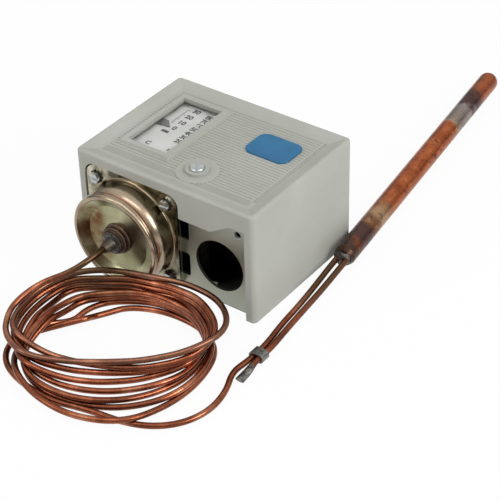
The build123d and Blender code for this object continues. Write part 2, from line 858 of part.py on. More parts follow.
def bulb_way():
    dx, dy = bulb_far[0] - bulb_near[0], bulb_far[1] - bulb_near[1]
    length = hypot(dx, dy)
    return Vector(dx / length, dy / length, 0), Vector(dy / length, -dx / length, 0), length


def bulb_entry(side):
    way, across, length = bulb_way()
    here = Vector(*bulb_near, bulb_radius) + across * (side * entry_offset)
    return [here - way * entry_run, here]


def clip_height():
    return clip_wall + clip_clear + tube_radius


def clip_points(side):
    x = clip_centre[0] + side * (tube_radius + clip_clear / 2)
    return [(x, clip_centre[1] - 4.6, clip_height()), (x, clip_centre[1] + 6.0, clip_height())]


def tail_points():
    """From the coil round the front right to the bulb."""
    z = tube_radius
    points = [
        (23.5, -106.6, z),
        (35.6, -105.3, z),
        (46.6, -101.2, z),
        (54.8, -93.2, z),
        (58.4, -82.4, z),
        (57.0, -71.0, z),
        (52.4, -61.2, z + 0.1),
    ]
    points += clip_points(-1)
    points += [
        (52.2, -29.9, z + 1.2),
        (51.5, -16.8, z + 1.9),
        (50.2, -4.0, z + 2.7),
    ]
    return points + [tuple(p) for p in bulb_entry(-1)]


def charging_points():
    """From the bulb back through the clip to the pinched end."""
    z = tube_radius
    points = [tuple(p) for p in reversed(bulb_entry(1))]
    points += [
        (53.6, -5.0, z + 2.4),
        (54.4, -18.5, z + 1.6),
        (55.3, -31.0, z + 1.0),
    ]
    points += reversed(clip_points(1))
    return points


def charging_tube():
    """Filling tube of the bulb, its free end pressed flat and soldered."""
    solid, path = tube_along(charging_points(), "charging_tube")
    way = path % 1
    across = Vector(way.Y, -way.X, 0)
    start = Plane(path @ 1, x_dir=across, z_dir=way)
    offset = Vector(pinch_shift, 0, tube_radius - clip_height())
    end = Plane((path @ 1) + way * pinch_length + offset, x_dir=across, z_dir=way)
    middle = Plane((path @ 1) + way * (pinch_length * 0.35) + offset * 0.5, x_dir=across, z_dir=way)
    sections = [
        start * Circle(tube_radius),
        middle * Ellipse(pinch_width * 0.42, pinch_thickness * 0.62),
        end * Ellipse(pinch_width / 2, pinch_thickness / 2),
    ]
    return solid + loft(sections)


def tube_clip():
    """Metal band folded round the two tubes."""
    inner_w = 4 * tube_radius + 3 * clip_clear
    inner_h = tube + 2 * clip_clear
    outer = RectangleRounded(inner_w + 2 * clip_wall, inner_h + 2 * clip_wall, inner_h / 2)
    inner = RectangleRounded(inner_w, inner_h, inner_h / 2 - 0.01)
    place = Pos(clip_centre[0], clip_height())
    y0, y1 = clip_centre[1] - clip_length / 2, clip_centre[1] + clip_length / 2
    return plate_y(place * (outer - inner), y0, y1)


def sensing_bulb():
    """Closed copper tube with a flat soldered near end and a round far end."""
    way, across, length = bulb_way()
    nose = bulb_radius - 0.8
    outline = Polyline(
        (0, 0),
        (nose, 0),
        (bulb_radius, 2.2),
        (bulb_radius, length - bulb_radius),
    )
    end = ThreePointArc(
        (bulb_radius, length - bulb_radius),
        (bulb_radius * cos(radians(45)), length - bulb_radius + bulb_radius * sin(radians(45))),
        (0, length),
    )
    axis = Line((0, length), (0, 0))
    bulb = revolve(make_face(outline + end + axis), Axis.Y)
    turn = degrees(atan2(way.Y, way.X)) - 90
    return Pos(*bulb_near, bulb_radius) * Rot(0, 0, turn) * bulb


def capillary_coil():
    """Outer shape of the loose coil: a ring that leans against the can at the back."""
    ring = Ellipse(*coil_outer) - Ellipse(*coil_inner)
    body = extrude(Pos(*coil_centre, 0) * ring, coil_back_height + 1)
    y_front = coil_centre[1] - coil_outer[1]
    y_back = coil_centre[1] + coil_outer[1]
    slope = Polyline(
        (y_front - 1, coil_front_height),
        (y_back + 1, coil_back_height),
        (y_back + 1, coil_back_height + 9),
        (y_front - 1, coil_back_height + 9),
        close=True,
    )
    body -= extrude(Plane.YZ.offset(left - 10) * make_face(slope), width + 20)
    can_front = flange_face - rim_ahead - coil_can_gap
    can_side = power_x + cup_radius + coil_can_gap + 1.0
    return body - block(left - 20, can_side, can_front, 0, -1, coil_back_height + 5)


def build():
    write("cover", cover())
    write("window_pane", window_pane())
    write("badge", badge())
    write("cover_screw", cover_screw())
    write("cover_post", cover_post())
    write("case", case())
    write("capsule_cup", capsule_cup())
    write("bellows_head", bellows_head())
    write("bellows", bellows())
    write("push_rod", push_rod())
    write("capillary_boss", capillary_boss())
    write("flange_screws", Compound([flange_screw(x, z) for x, z in flange_screw_places()]))
    write("lock_washers", Compound([lock_washer(x, z) for x, z in flange_screw_places()]))
    write("main_lever", main_lever())
    write("lever_stud", lever_stud())
    write("lever_clip", lever_clip())
    write("range_screw", adjusting_screw(power_x, range_screw_radius, range_head_radius))
    write("range_spring", range_spring())
    write("range_pointer", range_pointer())
    write("differential_screw", adjusting_screw(diff_x, diff_screw_radius, diff_head_radius))
    write("differential_spring", differential_spring())
    write("differential_nut", differential_nut())
    write("dial_bridge", dial_bridge())
    write("dial_scale", dial_scale())
    write("switch_base", switch_base())
    write("common_terminal", common_terminal())
    write("open_terminal", open_terminal())
    write("closed_terminal", closed_terminal())
    write("contact_blade", contact_blade())
    write("terminal_screws", Compound(terminal_screws()))
    write("ground_screw", ground_screw())
    write("capillary_lead", tube_along(lead_points(), "capillary_lead")[0])
    write("capillary_coil", capillary_coil())
    write("capillary_tail", tube_along(tail_points(), "capillary_tail")[0])
    write("charging_tube", charging_tube())
    write("tube_clip", tube_clip())
    write("sensing_bulb", sensing_bulb())


build()
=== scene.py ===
# %% [markdown]
# # A capillary thermostat
#
# The real thing is a grey box of folded steel and moulded plastic, a pressure can on its front, and a
# sensing bulb at the end of a thin copper tube that lies coiled in front of it. The solids are already
# made to size. This lesson dresses them: it lays the thin tube, prints the dial, and gives every part
# the finish of its metal or plastic.

# %% Load the solids
import bpy
import bmesh
import math
from mathutils import Matrix, Vector


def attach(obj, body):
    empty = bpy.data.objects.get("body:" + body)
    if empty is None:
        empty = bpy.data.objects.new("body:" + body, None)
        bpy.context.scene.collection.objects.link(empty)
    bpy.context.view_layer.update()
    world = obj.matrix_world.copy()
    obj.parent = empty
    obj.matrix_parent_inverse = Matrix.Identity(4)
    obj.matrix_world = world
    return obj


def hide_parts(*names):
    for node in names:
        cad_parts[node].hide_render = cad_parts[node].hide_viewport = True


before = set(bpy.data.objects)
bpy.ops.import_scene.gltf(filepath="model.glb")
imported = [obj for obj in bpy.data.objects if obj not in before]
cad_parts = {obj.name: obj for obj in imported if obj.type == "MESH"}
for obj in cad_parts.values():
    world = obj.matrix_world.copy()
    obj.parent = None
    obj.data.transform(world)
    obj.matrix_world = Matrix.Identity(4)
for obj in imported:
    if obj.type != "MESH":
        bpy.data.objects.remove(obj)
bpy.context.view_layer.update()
MM = 0.001

# %% [markdown]
# A camera is placed by three turns and one length. Here it stands at the front right, looks down at 36
# degrees and leans a little, as a hand-held camera does. The turns make three axes, and the axes are the
# columns of its matrix. Its long lens keeps the box's edges nearly parallel.

# %% The camera
CAMERA_PLACE = Vector((0.3454, -0.4384, 0.4071))
AZIMUTH, ELEVATION, LEAN = (math.radians(a) for a in (36.912, 36.299, -1.525))


def camera_axes():
    right = Vector((math.cos(AZIMUTH), math.sin(AZIMUTH), 0))
    back = Vector((math.sin(AZIMUTH) * math.cos(ELEVATION),
                   -math.cos(AZIMUTH) * math.cos(ELEVATION), math.sin(ELEVATION)))
    up = back.cross(right)
    leaned = right * math.cos(LEAN) + up * math.sin(LEAN)
    return leaned, back.cross(leaned), back


lens = bpy.data.cameras.new("camera")
lens.lens, lens.sensor_width = 123.32, 36
lens.clip_start, lens.clip_end = 0.05, 20
camera = bpy.data.objects.new("camera", lens)
camera.matrix_world = Matrix.Translation(CAMERA_PLACE) @ Matrix(camera_axes()).transposed().to_4x4()
bpy.context.scene.collection.objects.link(camera)
bpy.context.scene.camera = camera
print("camera", round(CAMERA_PLACE.length, 2), "m from the box, lens", lens.lens)

# %% [markdown]
# Shapes, finishes and the sky are all networks of small nodes. A few kinds come back everywhere, such as a
# sum, a noise and a ramp of colours, so each gets a function that makes the node, fills in its sockets and
# returns its output.

# %% Helpers for nodes


def place(tree, stretch=(1, 1, 1), turn=(0, 0, 0), centre=(0, 0, 0)):
    """Object coordinates in metres, turned about the centre and then stretched."""
    here = tree.nodes.new("ShaderNodeTexCoord").outputs["Object"]
    if any(centre):
        here = mapped(tree, here, [-c for c in centre], (0, 0, 0), (1, 1, 1))
    return mapped(tree, here, (0, 0, 0), turn, stretch)


def mapped(tree, here, move, turn, stretch):
    node = tree.nodes.new("ShaderNodeMapping")
    node.inputs["Location"].default_value = move
    node.inputs["Rotation"].default_value = turn
    node.inputs["Scale"].default_value = stretch
    tree.links.new(here, node.inputs["Vector"])
    return node.outputs[0]


def noise(tree, here, per_metre, detail=4.0, rough=0.55):
    node = tree.nodes.new("ShaderNodeTexNoise")
    node.inputs["Scale"].default_value = per_metre
    node.inputs["Detail"].default_value = detail
    node.inputs["Roughness"].default_value = rough
    tree.links.new(here, node.inputs["Vector"])
    return node.outputs["Fac"]


def ramp(tree, value, stops):
    """stops: (position, colour or grey number)."""
    node = tree.nodes.new("ShaderNodeValToRGB")
    band = node.color_ramp
    while len(band.elements) < len(stops):
        band.elements.new(0.5)
    for element, (position, colour) in zip(band.elements, stops):
        element.position = position
        element.color = colour if isinstance(colour, tuple) else (colour, colour, colour, 1)
    tree.links.new(value, node.inputs[0])
    return node.outputs["Color"]


def blend_colours(tree, share, first, second):
    """first where share is 0, second where it is 1. Each is a colour or another node's output."""
    node = tree.nodes.new("ShaderNodeMix")
    node.data_type = "RGBA"
    tree.links.new(share, node.inputs[0])
    for socket, value in ((node.inputs[6], first), (node.inputs[7], second)):
        if isinstance(value, tuple):
            socket.default_value = value
        else:
            tree.links.new(value, socket)
    return node.outputs[2]


def maths(tree, kind, first, second=None):
    node = tree.nodes.new("ShaderNodeMath")
    node.operation = kind
    for socket, value in zip(node.inputs, (first, second)):
        if isinstance(value, (int, float)):
            socket.default_value = value
        elif value is not None:
            tree.links.new(value, socket)
    return node.outputs[0]


def axis_of(tree, here, axis):
    """One of the three coordinates."""
    node = tree.nodes.new("ShaderNodeSeparateXYZ")
    tree.links.new(here, node.inputs[0])
    return node.outputs[axis]


def near_point(tree, here, point, inside, outside):
    """1 within the inner distance of a point, in millimetres, falling to 0 at the outer one."""
    gap = tree.nodes.new("ShaderNodeVectorMath")
    gap.operation = "DISTANCE"
    gap.inputs[1].default_value = [c * MM for c in point]
    tree.links.new(here, gap.inputs[0])
    far = maths(tree, "MULTIPLY", gap.outputs["Value"], 1 / (outside * MM))
    return ramp(tree, far, [(inside / outside, 1.0), (1.0, 0.0)])


print("node helpers ready")

# %% [markdown]
# Several pieces are made by Geometry Nodes: small trees that repeat a shape, or sweep it along a line. A tree
# gets its sizes through named inputs. Each modifier is run once, and its result is kept as a plain mesh, so
# that nothing is left to work out when the thermostat moves.

# %% Helpers for Geometry Nodes


def set_inputs(modifier, tree, **values):
    """Sets a modifier's inputs by their sockets' identifiers."""
    for item in tree.interface.items_tree:
        key = item.name.replace(" ", "_")
        if item.item_type == "SOCKET" and item.in_out == "INPUT" and key in values:
            modifier[item.identifier] = values[key]


def new_tree(name, *inputs):
    """A Geometry Nodes tree with geometry in and out, and the inputs that are named."""
    tree = bpy.data.node_groups.new(name, "GeometryNodeTree")
    tree.interface.new_socket("Geometry", in_out="OUTPUT", socket_type="NodeSocketGeometry")
    tree.interface.new_socket("Geometry", in_out="INPUT", socket_type="NodeSocketGeometry")
    for label, kind in inputs:
        tree.interface.new_socket(label, in_out="INPUT", socket_type=kind)
    return tree, tree.nodes.new("NodeGroupInput"), tree.nodes.new("NodeGroupOutput")


def finish_tree(tree, instances, given, out):
    """Ends a tree: the copies are made real and given the finish."""
    real = tree.nodes.new("GeometryNodeRealizeInstances")
    paint = tree.nodes.new("GeometryNodeSetMaterial")
    tree.links.new(instances, real.inputs[0])
    tree.links.new(real.outputs[0], paint.inputs["Geometry"])
    tree.links.new(given.outputs["Finish"], paint.inputs["Material"])
    tree.links.new(paint.outputs[0], out.inputs[0])


def made_by_tree(name, tree, base=None, **values):
    """Runs a tree once, on a base mesh where it needs one, and keeps the result as a plain mesh."""
    piece = bpy.data.objects.new(name, base or bpy.data.meshes.new(name))
    bpy.context.scene.collection.objects.link(piece)
    modifier = piece.modifiers.new("tree", "NODES")
    modifier.node_group = tree
    set_inputs(modifier, tree, **values)
    graph = bpy.context.evaluated_depsgraph_get()
    result = bpy.data.meshes.new_from_object(piece.evaluated_get(graph))
    piece.modifiers.clear()
    old, piece.data = piece.data, result
    bpy.data.meshes.remove(old)
    result.name = name
    print(name, len(result.polygons), "faces")
    return piece


print("tree helpers ready")

# %% [markdown]
# The capillary is one piece of soft copper tube, 2.4 mm thick. It leaves the can's nose, drops, runs eight
# times round in loose turns that lean on the can, and goes on to the bulb. Tube that was wound by hand is
# never a neat spring: each turn has its own size, and it rests on the turns below it.
#
# A NURBS spline bends the way such tube does, because it rounds every corner by itself. So the turns are a
# table, one row for a turn and one column for each sixteenth of the way round: how far out the tube lies, and
# how high. A loop makes points of them.

# %% The turns of the coil, in millimetres
TUBE = 2.4
COIL_MIDDLE = (4.0, -72.0)
REACH = (
    (38.0, 39.2, 34.7, 23.4, 20.0, 21.4, 26.4, 37.8, 46.0, 42.7, 34.3, 25.1, 25.2, 28.6, 32.2, 35.2),
    (36.6, 36.7, 27.2, 20.6, 18.8, 21.1, 28.4, 38.5, 42.7, 35.2, 27.5, 25.1, 25.0, 25.9, 32.2, 34.9),
    (36.3, 36.6, 33.0, 24.9, 20.9, 21.3, 27.5, 37.3, 41.2, 34.7, 28.0, 25.1, 25.3, 26.1, 32.9, 33.5),
    (34.4, 35.5, 36.6, 30.7, 27.2, 26.0, 27.8, 36.4, 39.7, 32.9, 29.3, 25.1, 26.2, 27.1, 33.2, 30.3),
    (30.2, 33.5, 33.7, 31.9, 31.1, 31.8, 35.6, 37.3, 38.1, 33.2, 26.3, 22.7, 21.6, 21.7, 24.1, 24.3),
    (25.8, 31.8, 36.5, 37.7, 37.9, 38.0, 36.4, 37.1, 38.5, 32.9, 27.4, 24.2, 22.7, 22.2, 24.0, 22.6),
    (25.0, 33.0, 35.6, 37.7, 37.3, 40.0, 43.7, 42.5, 40.3, 35.1, 28.0, 25.1, 22.8, 22.8, 20.3, 18.9),
    (28.1, 35.9, 39.8, 42.4, 45.9, 50.2, 44.3, 42.0, 41.5, 34.9, 27.6, 22.9, 19.2, 15.3, 14.6, 12.9),
)
RISE = (
    (9.0, 9.2, 9.3, 6.9, 6.8, 8.2, 9.7, 13.4, 13.8, 13.1, 13.3, 15.2, 14.3, 13.2, 12.2, 10.5),
    (9.3, 11.3, 7.1, 4.9, 4.5, 5.4, 7.6, 10.5, 12.4, 15.2, 14.5, 12.4, 11.7, 10.9, 9.6, 7.9),
    (6.7, 8.5, 6.9, 4.0, 2.7, 2.7, 5.1, 8.4, 10.1, 12.7, 11.9, 9.8, 9.1, 8.3, 7.0, 5.4),
    (5.0, 5.0, 7.6, 4.8, 3.4, 2.6, 2.2, 6.1, 8.0, 10.7, 9.2, 7.4, 6.4, 5.5, 4.1, 4.2),
    (6.7, 4.1, 2.8, 2.4, 2.5, 2.8, 4.6, 3.6, 5.6, 7.8, 8.6, 8.6, 7.5, 6.9, 6.6, 7.0),
    (8.3, 6.8, 3.9, 4.8, 4.1, 3.8, 1.8, 1.2, 2.7, 5.4, 6.3, 5.3, 4.8, 4.3, 4.0, 4.4),
    (6.4, 1.2, 1.2, 2.4, 1.2, 1.8, 4.1, 4.2, 5.6, 3.4, 3.9, 2.8, 2.2, 1.5, 2.3, 1.2),
    (4.5, 1.5, 4.8, 3.8, 2.9, 4.2, 1.5, 1.4, 2.6, 1.2, 1.2, 1.2, 1.8, 2.1, 2.5, 5.4),
)


FIRST_ANGLE = 202.5


def coil_turns():
    points = []
    for turn, (reaches, rises) in enumerate(zip(REACH, RISE)):
        for step, (reach, rise) in enumerate(zip(reaches, rises)):
            angle = math.radians(FIRST_ANGLE + 360 * (turn + step / len(reaches)))
            points.append((COIL_MIDDLE[0] + reach * math.cos(angle),
                           COIL_MIDDLE[1] + reach * math.sin(angle), rise))
    return points[1:]  # the lead's last point takes the place of the first


print("table of", len(REACH), "turns")

# %% [markdown]
# Both tubes enter the bulb's near end through a lump of solder. Solder that froze round two tubes is a soft
# lump with dents, so a fine sphere is pushed in and out by noise, flattened, and set on the end.

# %% Solder lump of the bulb
BULB_NEAR, BULB_FAR = Vector((49.4, 16.2, 4.4)) * MM, Vector((29.1, 169.8, 4.4)) * MM
BULB_TURN = math.atan2(BULB_FAR.y - BULB_NEAR.y, BULB_FAR.x - BULB_NEAR.x)


def lump_tree():
    tree, given, out = new_tree("lump", ("Radius", "NodeSocketFloat"), ("Dent", "NodeSocketFloat"),
                                ("Dents Per Metre", "NodeSocketFloat"), ("Finish", "NodeSocketMaterial"))
    ball = tree.nodes.new("GeometryNodeMeshIcoSphere")
    ball.inputs["Subdivisions"].default_value = 5
    dents = tree.nodes.new("ShaderNodeTexNoise")
    dents.inputs["Detail"].default_value = 2.0
    outward = tree.nodes.new("GeometryNodeInputNormal")
    push = tree.nodes.new("ShaderNodeVectorMath")
    push.operation = "SCALE"
    moved = tree.nodes.new("GeometryNodeSetPosition")
    smooth = tree.nodes.new("GeometryNodeSetShadeSmooth")
    tree.links.new(given.outputs["Radius"], ball.inputs["Radius"])
    tree.links.new(given.outputs["Dents Per Metre"], dents.inputs["Scale"])
    depth = maths(tree, "MULTIPLY", maths(tree, "SUBTRACT", dents.outputs["Fac"], 0.5), given.outputs["Dent"])
    tree.links.new(outward.outputs[0], push.inputs[0])
    tree.links.new(depth, push.inputs["Scale"])
    tree.links.new(ball.outputs[0], moved.inputs["Geometry"])
    tree.links.new(push.outputs[0], moved.inputs["Offset"])
    tree.links.new(moved.outputs[0], smooth.inputs[0])
    finish_tree(tree, smooth.outputs[0], given, out)
    return tree


bulb_solder = bpy.data.materials.new("bulb_solder")
lump = made_by_tree("bulb_solder", lump_tree(), Radius=3.0 * MM, Dent=1.6 * MM, Dents_Per_Metre=420,
                    Finish=bulb_solder)
lump.data.transform(Matrix.Translation(BULB_NEAR) @ Matrix.Rotation(BULB_TURN, 4, "Z")
                    @ Matrix.Translation((0.4 * MM, 0, 0)) @ Matrix.Diagonal((0.85, 1.22, 1.1, 1)))
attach(lump, "housing")

# %% [markdown]
# Before the coil comes the lead, straight out of the nose and down, and after it the tail, which sweeps
# round the front, passes the clip and climbs to the middle of the bulb.

# %% The whole route, and the curve that follows it
LEAD = [(-15.75, -50.85, 22.2), (-15.75, -58.35, 22.2), (-20.15, -65.85, 18.6),
        (-27.81, -72.69, 15.2), (-30.97, -81.23, 12.7), (-30.99, -89.24, 10.42)]
INNER_END = [(-21.1, -81.4, 1.2), (-26.7, -94.7, 2.5), (-18.6, -106.8, 1.2), (6.1, -112.6, 2.4)]
TAIL = [(23.5, -106.6, 1.2), (35.6, -105.3, 1.2), (46.6, -101.2, 1.2), (54.8, -93.2, 1.2),
        (58.4, -82.4, 1.2), (57.0, -71.0, 1.2), (52.4, -61.2, 1.3), (53.94, -52.85, 1.82),
        (53.94, -42.25, 1.82), (52.2, -29.9, 2.4), (51.5, -16.8, 3.1), (50.2, -4.0, 3.9),
        (48.70, 7.03, 4.4), (47.52, 15.95, 4.4)]


def guide_line(name, route):
    """The route's NURBS spline, read as a line of points."""
    curve = bpy.data.curves.new(name, "CURVE")
    curve.dimensions = "3D"
    spline = curve.splines.new("NURBS")
    spline.points.add(len(route) - 1)
    for point, spot in zip(spline.points, route):
        point.co = (*(c * MM for c in spot), 1)
    spline.order_u = 3
    spline.use_endpoint_u = True
    spline.resolution_u = 8
    guide = bpy.data.objects.new(name, curve)
    bpy.context.scene.collection.objects.link(guide)
    graph = bpy.context.evaluated_depsgraph_get()
    line = bpy.data.meshes.new_from_object(guide.evaluated_get(graph))
    bpy.data.objects.remove(guide)
    return line


def swept_tube_tree():
    """Sweeps a circle along the line it is given, and writes the length so far as an attribute."""
    tree, given, out = new_tree("swept_tube", ("Radius", "NodeSocketFloat"), ("Sides", "NodeSocketInt"),
                                ("Finish", "NodeSocketMaterial"))
    line = tree.nodes.new("GeometryNodeMeshToCurve")
    so_far = tree.nodes.new("GeometryNodeSplineParameter")
    written = tree.nodes.new("GeometryNodeStoreNamedAttribute")
    written.inputs["Name"].default_value = "so_far"
    circle = tree.nodes.new("GeometryNodeCurvePrimitiveCircle")
    sweep = tree.nodes.new("GeometryNodeCurveToMesh")
    sweep.inputs["Fill Caps"].default_value = True
    smooth = tree.nodes.new("GeometryNodeSetShadeSmooth")
    tree.links.new(given.outputs["Geometry"], line.inputs[0])
    tree.links.new(line.outputs[0], written.inputs["Geometry"])
    tree.links.new(so_far.outputs["Length"], written.inputs["Value"])
    tree.links.new(given.outputs["Sides"], circle.inputs["Resolution"])
    tree.links.new(given.outputs["Radius"], circle.inputs["Radius"])
    tree.links.new(written.outputs[0], sweep.inputs["Curve"])
    tree.links.new(circle.outputs[0], sweep.inputs["Profile Curve"])
    tree.links.new(sweep.outputs[0], smooth.inputs[0])
    finish_tree(tree, smooth.outputs[0], given, out)
    return tree


copper = bpy.data.materials.new("copper")
route_line = guide_line("route", LEAD + coil_turns() + INNER_END + TAIL)
capillary = made_by_tree("capillary", swept_tube_tree(), route_line, Radius=TUBE / 2 * MM, Sides=16,
                         Finish=copper)
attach(capillary, "housing")
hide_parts("capillary_lead", "capillary_coil", "capillary_tail")

# %% [markdown]
# The bench is a white plane, and the lamps are soft boxes. The plane is a plain white that takes a shadow.
# For the camera most of it is swapped for an even glow, so that it looks as white as paper without any more
# light on the thermostat. Light Path tells the shader who is asking. Under the box nothing glows, because
# that would shine up through the mounting holes. Metal needs something dark to mirror, or it looks like
# paint, so in metal the sky is dim near the horizon and bright overhead.

# %% Floor and sky
BENCH_SEEN, BENCH_MIRRORED = 0.94, 0.72
UNDER_BOX = (39 * MM, 29 * MM)
FILL = 0.585
SKY_IN_METAL = [(0.10, 0.22), (0.62, 0.95)]
BENCH_HALF, BENCH_DOWN = 3.0, 0.0001


def swapped_share(tree, seen, mirrored):
    """How much is swapped for the glow: for rays from the camera or through clear plastic, and off metal."""
    path = tree.nodes.new("ShaderNodeLightPath")
    direct = maths(tree, "MULTIPLY", path.outputs["Is Camera Ray"], seen)
    through = maths(tree, "MULTIPLY", path.outputs["Is Transmission Ray"], seen)
    off_metal = maths(tree, "MULTIPLY", path.outputs["Is Glossy Ray"], mirrored)
    return maths(tree, "MAXIMUM", maths(tree, "MAXIMUM", direct, through), off_metal)


floor_paint = bpy.data.materials.new("bench_white")
floor_paint.use_nodes = True
tree = floor_paint.node_tree
tree.nodes.clear()
matte = tree.nodes.new("ShaderNodeBsdfDiffuse")
matte.inputs["Color"].default_value = (0.86, 0.86, 0.86, 1)
glow = tree.nodes.new("ShaderNodeEmission")
glow.inputs["Strength"].default_value = 1.0
mix = tree.nodes.new("ShaderNodeMixShader")
out = tree.nodes.new("ShaderNodeOutputMaterial")
here = tree.nodes.new("ShaderNodeTexCoord").outputs["Object"]
beyond = [maths(tree, "GREATER_THAN", maths(tree, "ABSOLUTE", axis_of(tree, here, axis)), half)
          for axis, half in enumerate(UNDER_BOX)]
share = swapped_share(tree, BENCH_SEEN, BENCH_MIRRORED)
tree.links.new(maths(tree, "MULTIPLY", share, maths(tree, "MAXIMUM", *beyond)), mix.inputs[0])
tree.links.new(matte.outputs[0], mix.inputs[1])
tree.links.new(glow.outputs[0], mix.inputs[2])
tree.links.new(mix.outputs[0], out.inputs[0])

plane = bpy.data.meshes.new("bench")
corners = [(x * BENCH_HALF, y * BENCH_HALF, -BENCH_DOWN) for x, y in ((-1, -1), (1, -1), (1, 1), (-1, 1))]
plane.from_pydata(corners, [], [(0, 1, 2, 3)])
plane.materials.append(floor_paint)
bench = bpy.data.objects.new("bench", plane)
bpy.context.scene.collection.objects.link(bench)

world = bpy.data.worlds.new("studio")
bpy.context.scene.world = world
world.use_nodes = True
sky = world.node_tree
sky.nodes.clear()
fill, dim, white = (sky.nodes.new("ShaderNodeBackground") for _ in range(3))
for light, strength in ((fill, FILL), (dim, 1.0), (white, 1.0)):
    light.inputs["Color"].default_value = (1, 1, 1, 1)
    light.inputs["Strength"].default_value = strength
way = sky.nodes.new("ShaderNodeTexCoord").outputs["Generated"]
sky.links.new(ramp(sky, axis_of(sky, way, 2), SKY_IN_METAL), dim.inputs["Color"])
sky_out = sky.nodes.new("ShaderNodeOutputWorld")
last = fill
for share, light in ((swapped_share(sky, 0.0, 1.0), dim), (swapped_share(sky, 1.0, 0.0), white)):
    mix = sky.nodes.new("ShaderNodeMixShader")
    sky.links.new(share, mix.inputs[0])
    sky.links.new(last.outputs[0], mix.inputs[1])
    sky.links.new(light.outputs[0], mix.inputs[2])
    last = mix
sky.links.new(last.outputs[0], sky_out.inputs[0])
print("sky", FILL, "for light, brighter upwards in metal")

# %% [markdown]
# Three soft boxes do the rest. The largest hangs high at the right and lights the cover's top and right side.
# A smaller one stands low at the left front, and gives the can and the coil their long highlights. The third
# hangs over the front and brightens the tops of the tubes.

# %% Lamps


def soft_box(name, place, aim, size, watts):
    light = bpy.data.lights.new(name, "AREA")
    light.shape, light.size, light.size_y, light.energy = "RECTANGLE", size[0], size[1], watts
    lamp = bpy.data.objects.new(name, light)
    lamp.location = place
    lamp.rotation_euler = (Vector(aim) - Vector(place)).to_track_quat("-Z", "Y").to_euler()
    bpy.context.scene.collection.objects.link(lamp)


soft_box("key_box", (1.25, 0.0, 0.85), (0, 0, 0.02), (0.8, 0.8), 11)
soft_box("front_box", (-0.7, -1.0, 0.6), (0, -0.04, 0.02), (0.4, 0.8), 2.5)
soft_box("top_box", (0.05, -0.45, 1.1), (0, -0.05, 0.02), (0.9, 0.35), 2.5)
bpy.context.scene.view_settings.view_transform = "Standard"

# %% [markdown]
# ## Finishes
#
# A finish is a small network. Noise at the right scale picks a colour from a ramp, a second noise does the
# same for gloss, and a third lifts the surface as bump. One helper starts such a network and one gives it to
# its solids, so that each finish below is a list of its colours, and what is special about it.

# %% Helpers for finishes


def rgb(red, green, blue):
    """A colour as a picture shows it, from 0 to 255, as light."""
    def linear(c):
        c /= 255
        return c / 12.92 if c <= 0.04045 else ((c + 0.055) / 1.055) ** 2.4
    return (linear(red), linear(green), linear(blue), 1)


def finish(name, metallic=0.0, material=None, **constants):
    """A material, new where none is given, with its tree and shader. Constants go on the shader's sockets."""
    material = material or bpy.data.materials.new(name)
    material.use_nodes = True
    shader = material.node_tree.nodes["Principled BSDF"]
    shader.inputs["Metallic"].default_value = metallic
    for socket, value in constants.items():
        shader.inputs[socket.replace("_", " ")].default_value = value
    return material, material.node_tree, shader


def bump(tree, shader, height, distance, strength=1.0):
    node = tree.nodes.new("ShaderNodeBump")
    node.inputs["Strength"].default_value = strength
    node.inputs["Distance"].default_value = distance
    tree.links.new(height, node.inputs["Height"])
    tree.links.new(node.outputs[0], shader.inputs["Normal"])


def dress(material, *nodes):
    """Gives a finish to solids that keep their own shape."""
    for node in nodes:
        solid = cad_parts[node]
        if not solid.material_slots:
            solid.data.materials.append(material)
        for slot in solid.material_slots:
            slot.material = material


print("finish helpers ready")

# %% [markdown]
# The cover is moulded in light grey plastic. Up close it has a fine spark-eroded grain, and age has left it
# a little uneven: slightly yellower in patches, with faint rub marks that run along the sides. The grain is
# bump only, and the rub marks are noise that is stretched ten times along X. The grooves of the ribbed field
# get painted shade, so whatever lies just below the field's top is darker.

# %% Cover plastic
cover_grey, tree, shader = finish("cover_grey", Specular_IOR_Level=0.42)
here = place(tree)
patches = ramp(tree, noise(tree, here, 28, 3), [(0.35, rgb(166, 168, 159)), (0.65, rgb(175, 176, 169))])
rubs = ramp(tree, noise(tree, place(tree, (6, 60, 60)), 18, 5, 0.7), [(0.60, 0.0), (0.74, 0.35)])
specks = ramp(tree, noise(tree, here, 900, 2), [(0.70, 0.0), (0.76, 0.35)])
tone = blend_colours(tree, rubs, patches, rgb(188, 189, 182))
speckled = blend_colours(tree, specks, tone, rgb(140, 140, 130))
FIELD_TOP, FIELD_HALF = 47.6 * MM, (36.6 * MM, 27.2 * MM)
in_field = maths(tree, "MULTIPLY", *(maths(tree, "LESS_THAN", maths(tree, "ABSOLUTE", axis_of(tree, here, i)),
                                           FIELD_HALF[i]) for i in range(2)))
below = maths(tree, "SUBTRACT", FIELD_TOP - 0.03 * MM, axis_of(tree, here, 2))
below = maths(tree, "MULTIPLY", below, 1 / (0.25 * MM))
# Painted shade: whatever lies just below the field's top is darker, so the grooves read as shaded.
groove_shade = maths(tree, "MULTIPLY", in_field, ramp(tree, below, [(0.0, 0.0), (0.8, 0.55)]))
tree.links.new(blend_colours(tree, groove_shade, speckled, rgb(136, 136, 127)), shader.inputs["Base Color"])
tree.links.new(ramp(tree, noise(tree, here, 150, 4), [(0.3, 0.40), (0.7, 0.56)]), shader.inputs["Roughness"])
grain = noise(tree, here, 2600, 3, 0.6)
bump(tree, shader, grain, 0.00006, 0.55)
dress(cover_grey, "cover")
print("cover finish done")

# %% [markdown]
# The badge is a thin glossy plate of solid blue plastic, set on the ribbed field. Gloss plastic shows its
# age as hairline scratches, so the roughness has fine stretched noise and the bump a slow waviness.

